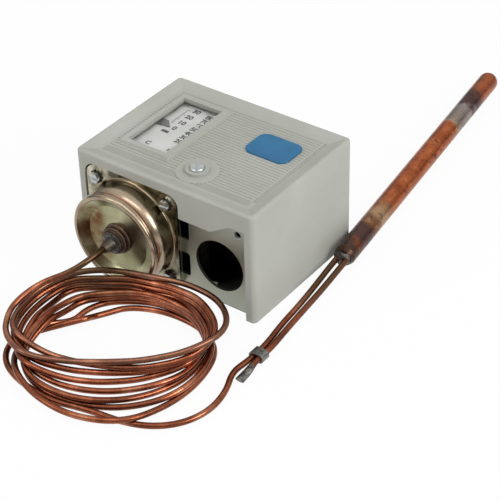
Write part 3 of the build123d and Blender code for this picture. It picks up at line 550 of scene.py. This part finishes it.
# %% Badge plastic
badge_blue, tree, shader = finish("badge_blue", Specular_IOR_Level=0.5)
here = place(tree)
tree.links.new(ramp(tree, noise(tree, here, 120, 3), [(0.3, rgb(10, 92, 136)), (0.7, rgb(16, 106, 150))]),
               shader.inputs["Base Color"])
hair = noise(tree, place(tree, (40, 900, 40), (0, 0, 0.5)), 3, 4, 0.7)
tree.links.new(ramp(tree, hair, [(0.35, 0.30), (0.75, 0.42)]), shader.inputs["Roughness"])
bump(tree, shader, noise(tree, here, 260, 2), 0.00008, 0.5)
dress(badge_blue, "badge")
print("badge finish done")

# %% [markdown]
# The window is clear plastic. All that shows of it is a soft reflection and a few scratches, so the shader
# lets light through and its roughness has sparse thin streaks.

# %% Window plastic
window_clear, tree, shader = finish("window_clear", Transmission_Weight=1.0, IOR=1.3)
here = place(tree, (30, 400, 30), (0, 0, 0.9))
tree.links.new(ramp(tree, noise(tree, here, 4, 4, 0.7), [(0.60, 0.02), (0.78, 0.22)]),
               shader.inputs["Roughness"])
tree.links.new(ramp(tree, noise(tree, place(tree), 60, 2), [(0.3, rgb(250, 251, 249)), (0.7, rgb(255, 255, 255))]),
               shader.inputs["Base Color"])
dress(window_clear, "window_pane")
print("window finish done")

# %% [markdown]
# Zinc plate on screws, levers and brackets is a bluish silver with a soft bloom. On larger sheet the same
# plate is passivated, which leaves a green-grey cast with drifting yellow, and it mirrors only softly. Both
# are metals whose colour and gloss drift together, so one function makes them from their own lists. A patch
# of painted shade darkens the floor of the case behind the conduit hole.

# %% Plated steels


def plated(name, dark, light, gloss, per_metre, stretch=(1, 1, 1), bumps=0.00004, tint=None, material=None,
           shade_spot=None):
    material, tree, shader = finish(name, 1.0, material)
    here, whole = place(tree, stretch), place(tree)
    cloud = noise(tree, here, per_metre, 5, 0.6)
    colour = ramp(tree, cloud, [(0.30, dark), (0.68, light)])
    if tint:
        drift = ramp(tree, noise(tree, whole, per_metre / 4, 2), [(0.42, 0.0), (0.62, 0.8)])
        colour = blend_colours(tree, drift, colour, tint)
    # Painted shade: a near-black patch round the given point, on the case floor behind the conduit hole.
    if shade_spot:
        colour = blend_colours(tree, near_point(tree, whole, shade_spot, 9, 16), colour, rgb(14, 14, 13))
    stain = ramp(tree, noise(tree, whole, per_metre * 3, 6, 0.7), [(0.62, 0.0), (0.72, 0.6)])
    tree.links.new(blend_colours(tree, stain, colour, tuple(c * 0.45 for c in dark[:3]) + (1,)),
                   shader.inputs["Base Color"])
    tree.links.new(ramp(tree, noise(tree, here, per_metre * 2, 4), [(0.3, gloss[0]), (0.7, gloss[1])]),
                   shader.inputs["Roughness"])
    bump(tree, shader, noise(tree, here, per_metre * 6, 4), bumps, 0.6)
    return material


zinc_steel = plated("zinc_steel", rgb(168, 172, 172), rgb(205, 208, 208), (0.22, 0.40), 260)
# The case floor gets a patch of painted shade behind the conduit hole.
case_steel = plated("case_steel", rgb(138, 150, 146), rgb(172, 182, 177), (0.30, 0.48), 60, (1, 1, 0.4),
                    0.00005, rgb(164, 164, 146), shade_spot=(8.5, -13.5, 1.2))
dark_steel = plated("dark_steel", rgb(46, 44, 42), rgb(84, 80, 76), (0.35, 0.6), 400)
washer_steel = plated("washer_steel", rgb(92, 90, 86), rgb(146, 144, 138), (0.28, 0.5), 500)
bronze = plated("bronze", rgb(172, 126, 70), rgb(206, 162, 98), (0.25, 0.45), 200)
plated("bulb_solder", rgb(46, 42, 40), rgb(116, 110, 106), (0.22, 0.45), 420, material=bulb_solder)
contact_silver = plated("contact_silver", rgb(196, 196, 190), rgb(222, 222, 216), (0.15, 0.32), 300)
dress(zinc_steel, "cover_screw", "push_rod", "flange_screws", "main_lever", "lever_stud",
      "range_screw", "differential_screw", "differential_nut", "dial_bridge", "terminal_screws")
dress(case_steel, "case", "bellows_head")
dress(washer_steel, "tube_clip")
# The cover post gets dark steel as painted shade, so that it stays dark inside the conduit hole.
dress(dark_steel, "lock_washers", "cover_post", "lever_clip", "range_spring", "differential_spring")
dress(bronze, "bellows", "common_terminal", "open_terminal", "closed_terminal")
dress(contact_silver, "contact_blade")
print("plated steels done")

# %% [markdown]
# The pressure can is drawn from steel sheet and passivated to an olive bronze. Drawing leaves faint rings
# round its axis, and the heat of the solder has browned the face. The deep wall is darker than the face,
# partly by its own tint and partly by a painted dark reflection. The rim is paler and warmer, partly its own
# tint and partly a painted highlight on its rounded shoulder, and the flange is blotched. A painted shadow lies
# on the face beside the nose. Rings need the distance from the axis, so the coordinates are centred on it
# first, and the wall is told from the face by how far forward it lies.

# %% Can finish
AXIS_X, AXIS_Z = -15.75, 22.2
CUP_RADIUS, CUP_FRONT, CUP_DEPTH = 20.3 * MM, 44.85 * MM, 12.5 * MM
cup_plate, tree, shader = finish("cup_plate", 1.0)
here, whole = place(tree, centre=(AXIS_X * MM, 0, AXIS_Z * MM)), place(tree)
across, along, tall = (axis_of(tree, here, i) for i in range(3))
radius = maths(tree, "SQRT", maths(tree, "ADD", maths(tree, "MULTIPLY", across, across),
                                   maths(tree, "MULTIPLY", tall, tall)))
clouds = noise(tree, here, 70, 5, 0.62)
face = ramp(tree, clouds, [(0.30, rgb(138, 134, 100)), (0.50, rgb(160, 158, 124)), (0.70, rgb(184, 180, 148))])
ring_value = maths(tree, "MULTIPLY", radius, 1 / CUP_RADIUS)
# The rim's paler colour is partly its own warmer tint and partly a painted highlight on the rounded shoulder.
rim_tint_and_highlight = ramp(tree, clouds, [(0.32, rgb(142, 126, 106)), (0.55, rgb(172, 156, 134)),
                                 (0.70, rgb(160, 132, 112))])
depth_back = maths(tree, "MULTIPLY", maths(tree, "ADD", along, CUP_FRONT), 1 / CUP_DEPTH)
rim_and_highlight_share = ramp(tree, ring_value, [(0.84, 0.0), (0.91, 1.0)])
coloured = blend_colours(tree, rim_and_highlight_share, face, rim_tint_and_highlight)
wavy = maths(tree, "ADD", depth_back, maths(tree, "MULTIPLY", maths(tree, "SUBTRACT", clouds, 0.5), 0.35))
bead = ramp(tree, depth_back, [(0.10, 0.0), (0.20, 0.7), (0.30, 0.7), (0.38, 0.0)])
bead = maths(tree, "MULTIPLY", bead, ramp(tree, ring_value, [(0.86, 0.0), (0.93, 1.0)]))
coloured = blend_colours(tree, bead, coloured, rgb(158, 118, 96))
# The darker wall is partly its own tint and partly a painted dark reflection.
wall_tint_and_reflection = ramp(tree, wavy, [(0.50, 0.0), (0.64, 0.72), (0.88, 0.80), (1.0, 0.5)])
wall_tint_and_reflection = maths(tree, "MULTIPLY", wall_tint_and_reflection, ramp(tree, ring_value, [(0.93, 0.0), (0.98, 1.0)]))
coloured = blend_colours(tree, wall_tint_and_reflection, coloured, rgb(112, 102, 78))
flange = ramp(tree, maths(tree, "MULTIPLY", radius, 1 / (40 * MM)), [(0.525, 0.0), (0.545, 1.0)])
blotches = noise(tree, here, 110, 5, 0.65)
flange_colour = ramp(tree, blotches, [(0.38, rgb(84, 82, 68)), (0.48, rgb(150, 146, 126)),
                                      (0.62, rgb(206, 198, 178))])
coloured = blend_colours(tree, flange, coloured, flange_colour)
STAINS = (((-27.0, -41.9, 29.5), 3, 7), ((-26.5, -41.9, 21.5), 3, 8), ((-24.0, -41.9, 13.5), 2, 7))
ragged = ramp(tree, noise(tree, here, 170, 5, 0.65), [(0.36, 0.35), (0.56, 1.0)])
for spot, inside, outside in STAINS:
    patchy = maths(tree, "MULTIPLY", near_point(tree, whole, spot, inside, outside), ragged)
    coloured = blend_colours(tree, patchy, coloured, rgb(104, 72, 40))
# Painted shadow: a darker patch on the face, up and to the right of the nose.
nose_shadow = near_point(tree, whole, (-7.5, -41.9, 26.5), 3, 9)
coloured = blend_colours(tree, maths(tree, "MULTIPLY", nose_shadow, 0.8), coloured, rgb(84, 64, 56))
tree.links.new(coloured, shader.inputs["Base Color"])
tree.links.new(ramp(tree, noise(tree, here, 130, 4), [(0.3, 0.16), (0.7, 0.30)]), shader.inputs["Roughness"])
drawn = noise(tree, mapped(tree, here, (0, 0, 0), (0, 0, 0), (1, 0.3, 1)), 220, 3)
bump(tree, shader, drawn, 0.00010, 0.5)
dress(cup_plate, "capsule_cup")
print("can finish done, axis at", AXIS_X, AXIS_Z)

# %% [markdown]
# The nose is a stepped brass spigot that vanished under solder: dull grey with brown flux, and dark bands of
# painted shade in its steps. The colours follow its length, from the can's face to where the tube enters, and
# noise in both colour and roughness makes it look dirty, not painted.

# %% Solder
solder, tree, shader = finish("solder", 0.8)
here = place(tree)
dirt = noise(tree, here, 420, 5, 0.65)
CUP_FACE, NOSE_LENGTH = 41.85 * MM, 9.0 * MM
ahead = maths(tree, "MULTIPLY", maths(tree, "ADD", axis_of(tree, here, 1), CUP_FACE), -1 / NOSE_LENGTH)
ahead = maths(tree, "ADD", ahead, maths(tree, "MULTIPLY", maths(tree, "SUBTRACT", dirt, 0.5), 0.12))
# The two darkest bands are painted shade in the steps; the other colours are the nose's own.
nose_tones_and_step_shade = ramp(tree, ahead, [(0.00, rgb(96, 72, 56)), (0.10, rgb(122, 98, 82)), (0.165, rgb(46, 36, 32)),
                                (0.20, rgb(104, 82, 70)), (0.36, rgb(114, 94, 82)), (0.39, rgb(46, 38, 34)),
                                (0.44, rgb(84, 80, 78)), (0.54, rgb(84, 80, 78)), (0.70, rgb(86, 80, 72)),
                                (1.00, rgb(82, 66, 50))])
spots = ramp(tree, dirt, [(0.55, 0.0), (0.66, 0.55)])
tree.links.new(blend_colours(tree, spots, nose_tones_and_step_shade, rgb(176, 164, 156)), shader.inputs["Base Color"])
tree.links.new(ramp(tree, dirt, [(0.35, 0.50), (0.7, 0.28)]), shader.inputs["Roughness"])
bump(tree, shader, noise(tree, here, 700, 3), 0.00010, 0.5)
dress(solder, "capillary_boss")
print("solder done")

# %% [markdown]
# The solder ran into each step of the nose and set there as a rounded ring. A ring is a circle swept round a
# circle, and rows of rings repeat along a line, so one tree serves both the nose and the thread in the small
# tapped hole, which is three fine rings.

# %% Rings of solder and of thread


def ring_row_tree():
    tree, given, out = new_tree("ring_row", ("Count", "NodeSocketInt"), ("Start", "NodeSocketVector"),
                                ("Step", "NodeSocketVector"), ("Ring Radius", "NodeSocketFloat"),
                                ("Wire Radius", "NodeSocketFloat"), ("Finish", "NodeSocketMaterial"))
    line = tree.nodes.new("GeometryNodeMeshLine")
    line.mode = "OFFSET"
    ring, wire = (tree.nodes.new("GeometryNodeCurvePrimitiveCircle") for _ in range(2))
    ring.inputs["Resolution"].default_value = 40
    wire.inputs["Resolution"].default_value = 8
    sweep = tree.nodes.new("GeometryNodeCurveToMesh")
    smooth = tree.nodes.new("GeometryNodeSetShadeSmooth")
    copies = tree.nodes.new("GeometryNodeInstanceOnPoints")
    copies.inputs["Rotation"].default_value = (math.pi / 2, 0, 0)
    for source, node, socket in (("Count", line, "Count"), ("Start", line, "Start Location"),
                                 ("Step", line, "Offset"), ("Ring Radius", ring, "Radius"),
                                 ("Wire Radius", wire, "Radius")):
        tree.links.new(given.outputs[source], node.inputs[socket])
    tree.links.new(ring.outputs[0], sweep.inputs["Curve"])
    tree.links.new(wire.outputs[0], sweep.inputs["Profile Curve"])
    tree.links.new(sweep.outputs[0], smooth.inputs[0])
    tree.links.new(line.outputs[0], copies.inputs["Points"])
    tree.links.new(smooth.outputs[0], copies.inputs["Instance"])
    finish_tree(tree, copies.outputs[0], given, out)
    return tree


def joined(name, parts, material, body):
    """Several made pieces or meshes as one piece that rides on a body."""
    whole = bmesh.new()
    for part in parts:
        whole.from_mesh(getattr(part, "data", part))
    result = bpy.data.meshes.new(name)
    whole.to_mesh(result)
    whole.free()
    result.materials.clear()
    result.materials.append(material)
    for polygon in result.polygons:
        polygon.material_index = 0
    for part in parts:
        if isinstance(part, bpy.types.Object):
            bpy.data.objects.remove(part)
    piece = bpy.data.objects.new(name, result)
    bpy.context.scene.collection.objects.link(piece)
    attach(piece, body)
    return piece


rings = ring_row_tree()
NOSE_STEPS = ((-42.1, 6.0, 0.45), (-43.6, 5.15, 0.5), (-45.5, 4.3, 0.4))
nose_rings = [made_by_tree(f"nose_ring_{i}", rings, Count=1, Start=[AXIS_X * MM, y * MM, AXIS_Z * MM],
                           Step=[0, 1, 0], Ring_Radius=reach * MM, Wire_Radius=thick * MM, Finish=solder)
              for i, (y, reach, thick) in enumerate(NOSE_STEPS)]
joined("solder_rings", nose_rings, solder, "housing")
thread = made_by_tree("thread", rings, Count=3, Start=[32.65 * MM, -29.45 * MM, 35.8 * MM],
                      Step=[0, 0.45 * MM, 0], Ring_Radius=1.6 * MM, Wire_Radius=0.14 * MM, Finish=zinc_steel)
joined("tapped_thread", [thread], zinc_steel, "housing")
print("rings on the nose and in the tapped hole done")

# %% [markdown]
# Bare copper tube goes from pink to brown as it is handled. The brown lies in long patches, with bright
# orange where one turn has rubbed on the next. Such streaks follow the tube, so their noise is read from the
# length so far, which the sweep has written on the mesh.

# %% Tube copper


def copper_colours(tree, here, per_metre):
    patch = noise(tree, here, per_metre, 5, 0.62)
    base = ramp(tree, patch, [(0.28, rgb(84, 46, 32)), (0.44, rgb(124, 69, 47)), (0.58, rgb(152, 86, 59)),
                              (0.74, rgb(198, 128, 98))])
    soot = ramp(tree, noise(tree, here, per_metre * 2.7, 5, 0.65), [(0.58, 0.0), (0.72, 0.7)])
    return blend_colours(tree, soot, base, rgb(70, 50, 42))


_, tree, shader = finish("copper", 0.95, material=copper)
here = place(tree)
tube_colour = copper_colours(tree, here, 75)
so_far = tree.nodes.new("ShaderNodeAttribute")
so_far.attribute_name = "so_far"
strokes = noise(tree, mapped(tree, so_far.outputs["Vector"], (0, 0, 0), (0, 0, 0), (1, 0, 0)), 30, 5, 0.65)
rubbed = ramp(tree, strokes, [(0.52, 0.0), (0.68, 0.6)])
browned = ramp(tree, strokes, [(0.34, 0.7), (0.47, 0.0)])
oxide = ramp(tree, so_far.outputs["Fac"], [(0.02, 0.0), (0.07, 0.5), (0.24, 0.6), (0.34, 0.0)])
at_nose = near_point(tree, here, (-16, -55, 22), 8, 22)
at_bulb = near_point(tree, here, (48, 2, 4), 6, 30)
for share, colour in ((rubbed, rgb(222, 158, 122)), (browned, rgb(104, 64, 48)), (oxide, rgb(128, 100, 84)),
                      (at_nose, rgb(88, 66, 46)), (at_bulb, rgb(96, 68, 48))):
    tube_colour = blend_colours(tree, share, tube_colour, colour)
tree.links.new(tube_colour, shader.inputs["Base Color"])
tree.links.new(ramp(tree, noise(tree, here, 160, 4), [(0.3, 0.18), (0.7, 0.36)]), shader.inputs["Roughness"])
bump(tree, shader, noise(tree, here, 1100, 4), 0.00004, 0.6)
print("tube copper done")

# %% [markdown]
# The charging tube is the same copper, but its end was pinched flat and dipped in solder, which shows as a
# dull dark grey with bright crumbs. The two finishes meet at a place along Y, a few millimetres in front of
# the clip.

# %% Charging tube copper
pinched_copper, tree, shader = finish("pinched_copper", 0.9)
here = place(tree)
tube_colour = blend_colours(tree, near_point(tree, here, (48, 2, 4), 6, 30), copper_colours(tree, here, 75),
                            rgb(96, 68, 48))
crumbs = ramp(tree, noise(tree, here, 420, 5, 0.7), [(0.36, rgb(66, 62, 62)), (0.54, rgb(116, 112, 108)),
                                                     (0.72, rgb(190, 186, 174))])
DIPPED_TO, FADE = -53.6 * MM, 3.0 * MM
ahead = maths(tree, "MULTIPLY", maths(tree, "SUBTRACT", DIPPED_TO, axis_of(tree, here, 1)), 1 / FADE)
ahead = maths(tree, "ADD", ahead, maths(tree, "SUBTRACT", noise(tree, here, 300, 3), 0.5))
tree.links.new(blend_colours(tree, ramp(tree, ahead, [(0.0, 0.0), (0.6, 1.0)]), tube_colour, crumbs),
               shader.inputs["Base Color"])
tree.links.new(ramp(tree, noise(tree, here, 160, 4), [(0.3, 0.28), (0.7, 0.5)]), shader.inputs["Roughness"])
bump(tree, shader, noise(tree, here, 900, 4), 0.00008, 0.6)
dress(pinched_copper, "charging_tube")
print("charging tube done")

# %% [markdown]
# The bulb is copper that has been in the brazing flame: it is brick red in the middle, and near both ends it
# goes through purple, soot black and the pale grey of scale. Those bands follow its length, so its
# coordinates are turned until X runs along it, and noise makes the bands' edges wander.

# %% Bulb copper
bulb_copper, tree, shader = finish("bulb_copper", 0.9)
flat = mapped(tree, place(tree, centre=BULB_NEAR), (0, 0, 0), (0, 0, -BULB_TURN), (1, 1, 1))
length_share = maths(tree, "MULTIPLY", axis_of(tree, flat, 0), 1 / (BULB_FAR - BULB_NEAR).length)
wander = maths(tree, "MULTIPLY", maths(tree, "SUBTRACT", noise(tree, flat, 150, 5, 0.65), 0.5), 0.13)
share = maths(tree, "ADD", length_share, wander)
mottle = noise(tree, flat, 150, 6, 0.68)
scrape = noise(tree, mapped(tree, flat, (0, 0, 0), (0, 0, 0), (1, 9, 9)), 120, 5, 0.7)
body = ramp(tree, mottle, [(0.30, rgb(112, 52, 26)), (0.44, rgb(156, 78, 40)), (0.60, rgb(180, 98, 54)),
                           (0.76, rgb(214, 146, 96))])
body = blend_colours(tree, ramp(tree, scrape, [(0.56, 0.0), (0.66, 0.5)]), body, rgb(200, 140, 106))
bands = ramp(tree, share, [(0.00, rgb(54, 49, 47)), (0.045, rgb(68, 55, 48)), (0.06, rgb(122, 68, 44)),
                           (0.075, rgb(62, 53, 54)), (0.13, rgb(60, 53, 56)), (0.15, rgb(120, 80, 56)),
                           (0.19, rgb(180, 156, 122)), (0.235, rgb(150, 116, 84)), (0.27, rgb(166, 92, 50)),
                           (0.67, rgb(178, 92, 50)), (0.685, rgb(176, 156, 126)), (0.705, rgb(136, 126, 116)),
                           (0.79, rgb(146, 140, 138)), (0.81, rgb(62, 52, 54)), (0.86, rgb(80, 58, 52)),
                           (0.90, rgb(166, 88, 54)), (1.00, rgb(150, 82, 54))])
middle = ramp(tree, share, [(0.0, 0.92), (0.17, 0.85), (0.28, 0.15), (0.66, 0.10), (0.685, 0.92), (0.82, 0.92),
                            (1.0, 0.55)])
banded = blend_colours(tree, middle, body, bands)
spots = ramp(tree, noise(tree, flat, 330, 5, 0.7), [(0.55, 0.0), (0.66, 0.75)])
tree.links.new(blend_colours(tree, spots, banded, rgb(58, 38, 32)), shader.inputs["Base Color"])
tree.links.new(ramp(tree, noise(tree, flat, 300, 5), [(0.3, 0.20), (0.7, 0.42)]), shader.inputs["Roughness"])
bump(tree, shader, noise(tree, flat, 700, 5), 0.00007, 0.7)
dress(bulb_copper, "sensing_bulb")
print("bulb lies at", round(math.degrees(BULB_TURN), 1), "degrees")

# %% [markdown]
# Inside the cover are a black moulded switch base, a satin white dial and its grey pointer. Black phenolic
# has a slightly mottled skin, and silk-screened sheet has a fine tooth. The earth screw gets near-black paint
# as painted shade for the dark inside of the conduit hole.

# %% Inside plastics and paints


def painted(name, dark, light, gloss, per_metre, level=0.5):
    material, tree, shader = finish(name, 0.0, Specular_IOR_Level=level)
    here = place(tree)
    tree.links.new(ramp(tree, noise(tree, here, per_metre, 4), [(0.3, dark), (0.7, light)]),
                   shader.inputs["Base Color"])
    tree.links.new(ramp(tree, noise(tree, here, per_metre * 3, 3), [(0.3, gloss[0]), (0.7, gloss[1])]),
                   shader.inputs["Roughness"])
    bump(tree, shader, noise(tree, here, per_metre * 12, 3), 0.00003, 0.5)
    return material


bakelite = painted("bakelite", rgb(30, 27, 25), rgb(44, 40, 37), (0.35, 0.55), 160)
dial_plate = painted("dial_plate", rgb(206, 206, 203), rgb(216, 216, 213), (0.42, 0.55), 90)
pointer_grey = painted("pointer_grey", rgb(86, 86, 86), rgb(102, 102, 101), (0.4, 0.55), 120)
# Painted shade: near-black paint on the earth screw, which sits in the shade behind the conduit hole.
blackened = painted("blackened", rgb(20, 20, 19), rgb(31, 30, 29), (0.6, 0.8), 240, 0.2)
dial_ink = painted("dial_ink", rgb(44, 44, 46), rgb(62, 62, 64), (0.5, 0.7), 200)
dress(bakelite, "switch_base")
dress(blackened, "ground_screw")
dress(dial_plate, "dial_scale")
dress(pointer_grey, "range_pointer")
print("inside finishes done")

# %% [markdown]
# ## The dial's print
#
# The scale is printed on white sheet under the window: one column of numbers on each side, a line with
# graduations, and a small block. A graduation repeats at an even pitch, so Geometry Nodes make it: a line of
# points, a thin bar on each, and the copies made real. The sizes are the tree's named inputs.

# %% A tree for rows of bars


def bar_row_tree():
    tree, given, out = new_tree("bar_row", ("Count", "NodeSocketInt"), ("Start", "NodeSocketVector"),
                                ("Step", "NodeSocketVector"), ("Bar", "NodeSocketVector"),
                                ("Finish", "NodeSocketMaterial"))
    line = tree.nodes.new("GeometryNodeMeshLine")
    line.mode = "OFFSET"
    bar = tree.nodes.new("GeometryNodeMeshCube")
    copies = tree.nodes.new("GeometryNodeInstanceOnPoints")
    tree.links.new(given.outputs["Count"], line.inputs["Count"])
    tree.links.new(given.outputs["Start"], line.inputs["Start Location"])
    tree.links.new(given.outputs["Step"], line.inputs["Offset"])
    tree.links.new(given.outputs["Bar"], bar.inputs["Size"])
    tree.links.new(line.outputs[0], copies.inputs["Points"])
    tree.links.new(bar.outputs[0], copies.inputs["Instance"])
    finish_tree(tree, copies.outputs[0], given, out)
    return tree


# %% Graduations
DIAL_TOP = 45.0
INK = 0.03
bars = bar_row_tree()
mid = DIAL_TOP + INK / 2
graduations = []
for name, count, start, step, size in (
        ("dial_line", 1, (-26.75, 12.55, mid), (0, 1, 0), (0.22, 11.2, INK)),
        ("dial_long_marks", 4, (-26.0, 7.1, mid), (0, 3.63, 0), (1.5, 0.2, INK)),
        ("dial_short_marks", 13, (-26.35, 7.1, mid), (0, 0.908, 0), (0.8, 0.12, INK)),
        ("dial_block", 1, (-24.7, 0.55, mid), (0, 1, 0), (3.4, 1.6, INK))):
    row = made_by_tree(name, bars, Count=count, Start=[c * MM for c in start], Step=[c * MM for c in step],
                       Bar=[c * MM for c in size], Finish=dial_ink)
    graduations.append(row)

# %% [markdown]
# Numbers are text objects made into meshes. Blender's own typeface is plain, so a small extrusion gives the
# ink a thickness, and each number is moved into place before it becomes part of the dial.

# %% Numbers


def number(text, x, y, size):
    curve = bpy.data.curves.new("number", "FONT")
    curve.body, curve.size, curve.align_x, curve.align_y = text, size * MM, "CENTER", "CENTER"
    curve.extrude = INK / 2 * MM
    curve.offset = 0.00015
    letter = bpy.data.objects.new("number", curve)
    bpy.context.scene.collection.objects.link(letter)
    graph = bpy.context.evaluated_depsgraph_get()
    mesh = bpy.data.meshes.new_from_object(letter.evaluated_get(graph))
    mesh.transform(Matrix.Translation(Vector((x, y, DIAL_TOP + INK / 2)) * MM))
    bpy.data.objects.remove(letter)
    return mesh


LEFT = (("0", 4.15), ("10", 9.0), ("20", 13.85), ("30", 18.65))
RIGHT = (("20", -2.55), ("30", 0.85), ("40", 4.15), ("50", 7.65), ("60", 11.05), ("70", 14.5), ("80", 17.75))
numbers = [number(text, -22.9, y, 3.5) for text, y in LEFT]
numbers += [number(text, -15.7, y, 3.5) for text, y in RIGHT]
numbers += [number("C", -25.05, -9.75, 3.2), number("F", -15.05, -9.75, 2.2)]
dial_print = joined("dial_print", numbers + graduations, dial_ink, "housing")
print("dial print", len(dial_print.data.polygons), "faces")

# %% The scene brought up to date, and the end
bpy.context.view_layer.update()
